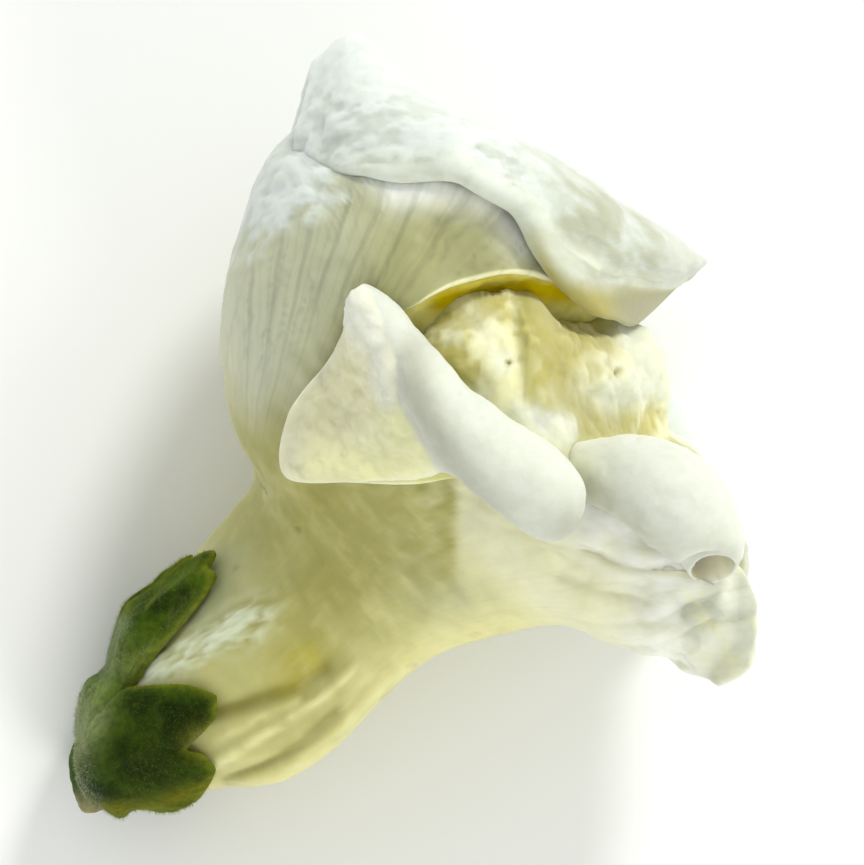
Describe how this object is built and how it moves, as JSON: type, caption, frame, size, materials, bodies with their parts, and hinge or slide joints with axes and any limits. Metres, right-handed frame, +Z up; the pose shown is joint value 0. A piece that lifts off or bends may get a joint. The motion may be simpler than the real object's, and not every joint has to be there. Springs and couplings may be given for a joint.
{
  "type": "snapdragon flower",
  "caption": "White snapdragon bloom lying on its side: pouched tube, hooded upper lip, closed palate with two bosses, outrolled lower lobes and a green hairy calyx.",
  "frame": {"origin": "centre of the bounding box's footprint, on the ground the bloom lies on", "axes": "+Z up from the ground; +Y from the lower lip towards the crest of the hood; +X from the calyx towards the lips"},
  "size_m": [0.0344, 0.0396, 0.0244],
  "materials": {
    "white_petal": "velvety, translucent",
    "green_sepal": "hairy, matt",
    "pale_green": "moist, satin",
    "pollen_yellow": "matt"
  },
  "bodies": {
    "root": {"corolla": "white_petal", "calyx": "green_sepal", "pistil": "pale_green", "stamen_1": "pollen_yellow", "stamen_2": "pollen_yellow", "stamen_3": "pollen_yellow", "stamen_4": "pollen_yellow"}
  },
  "joints": []
}
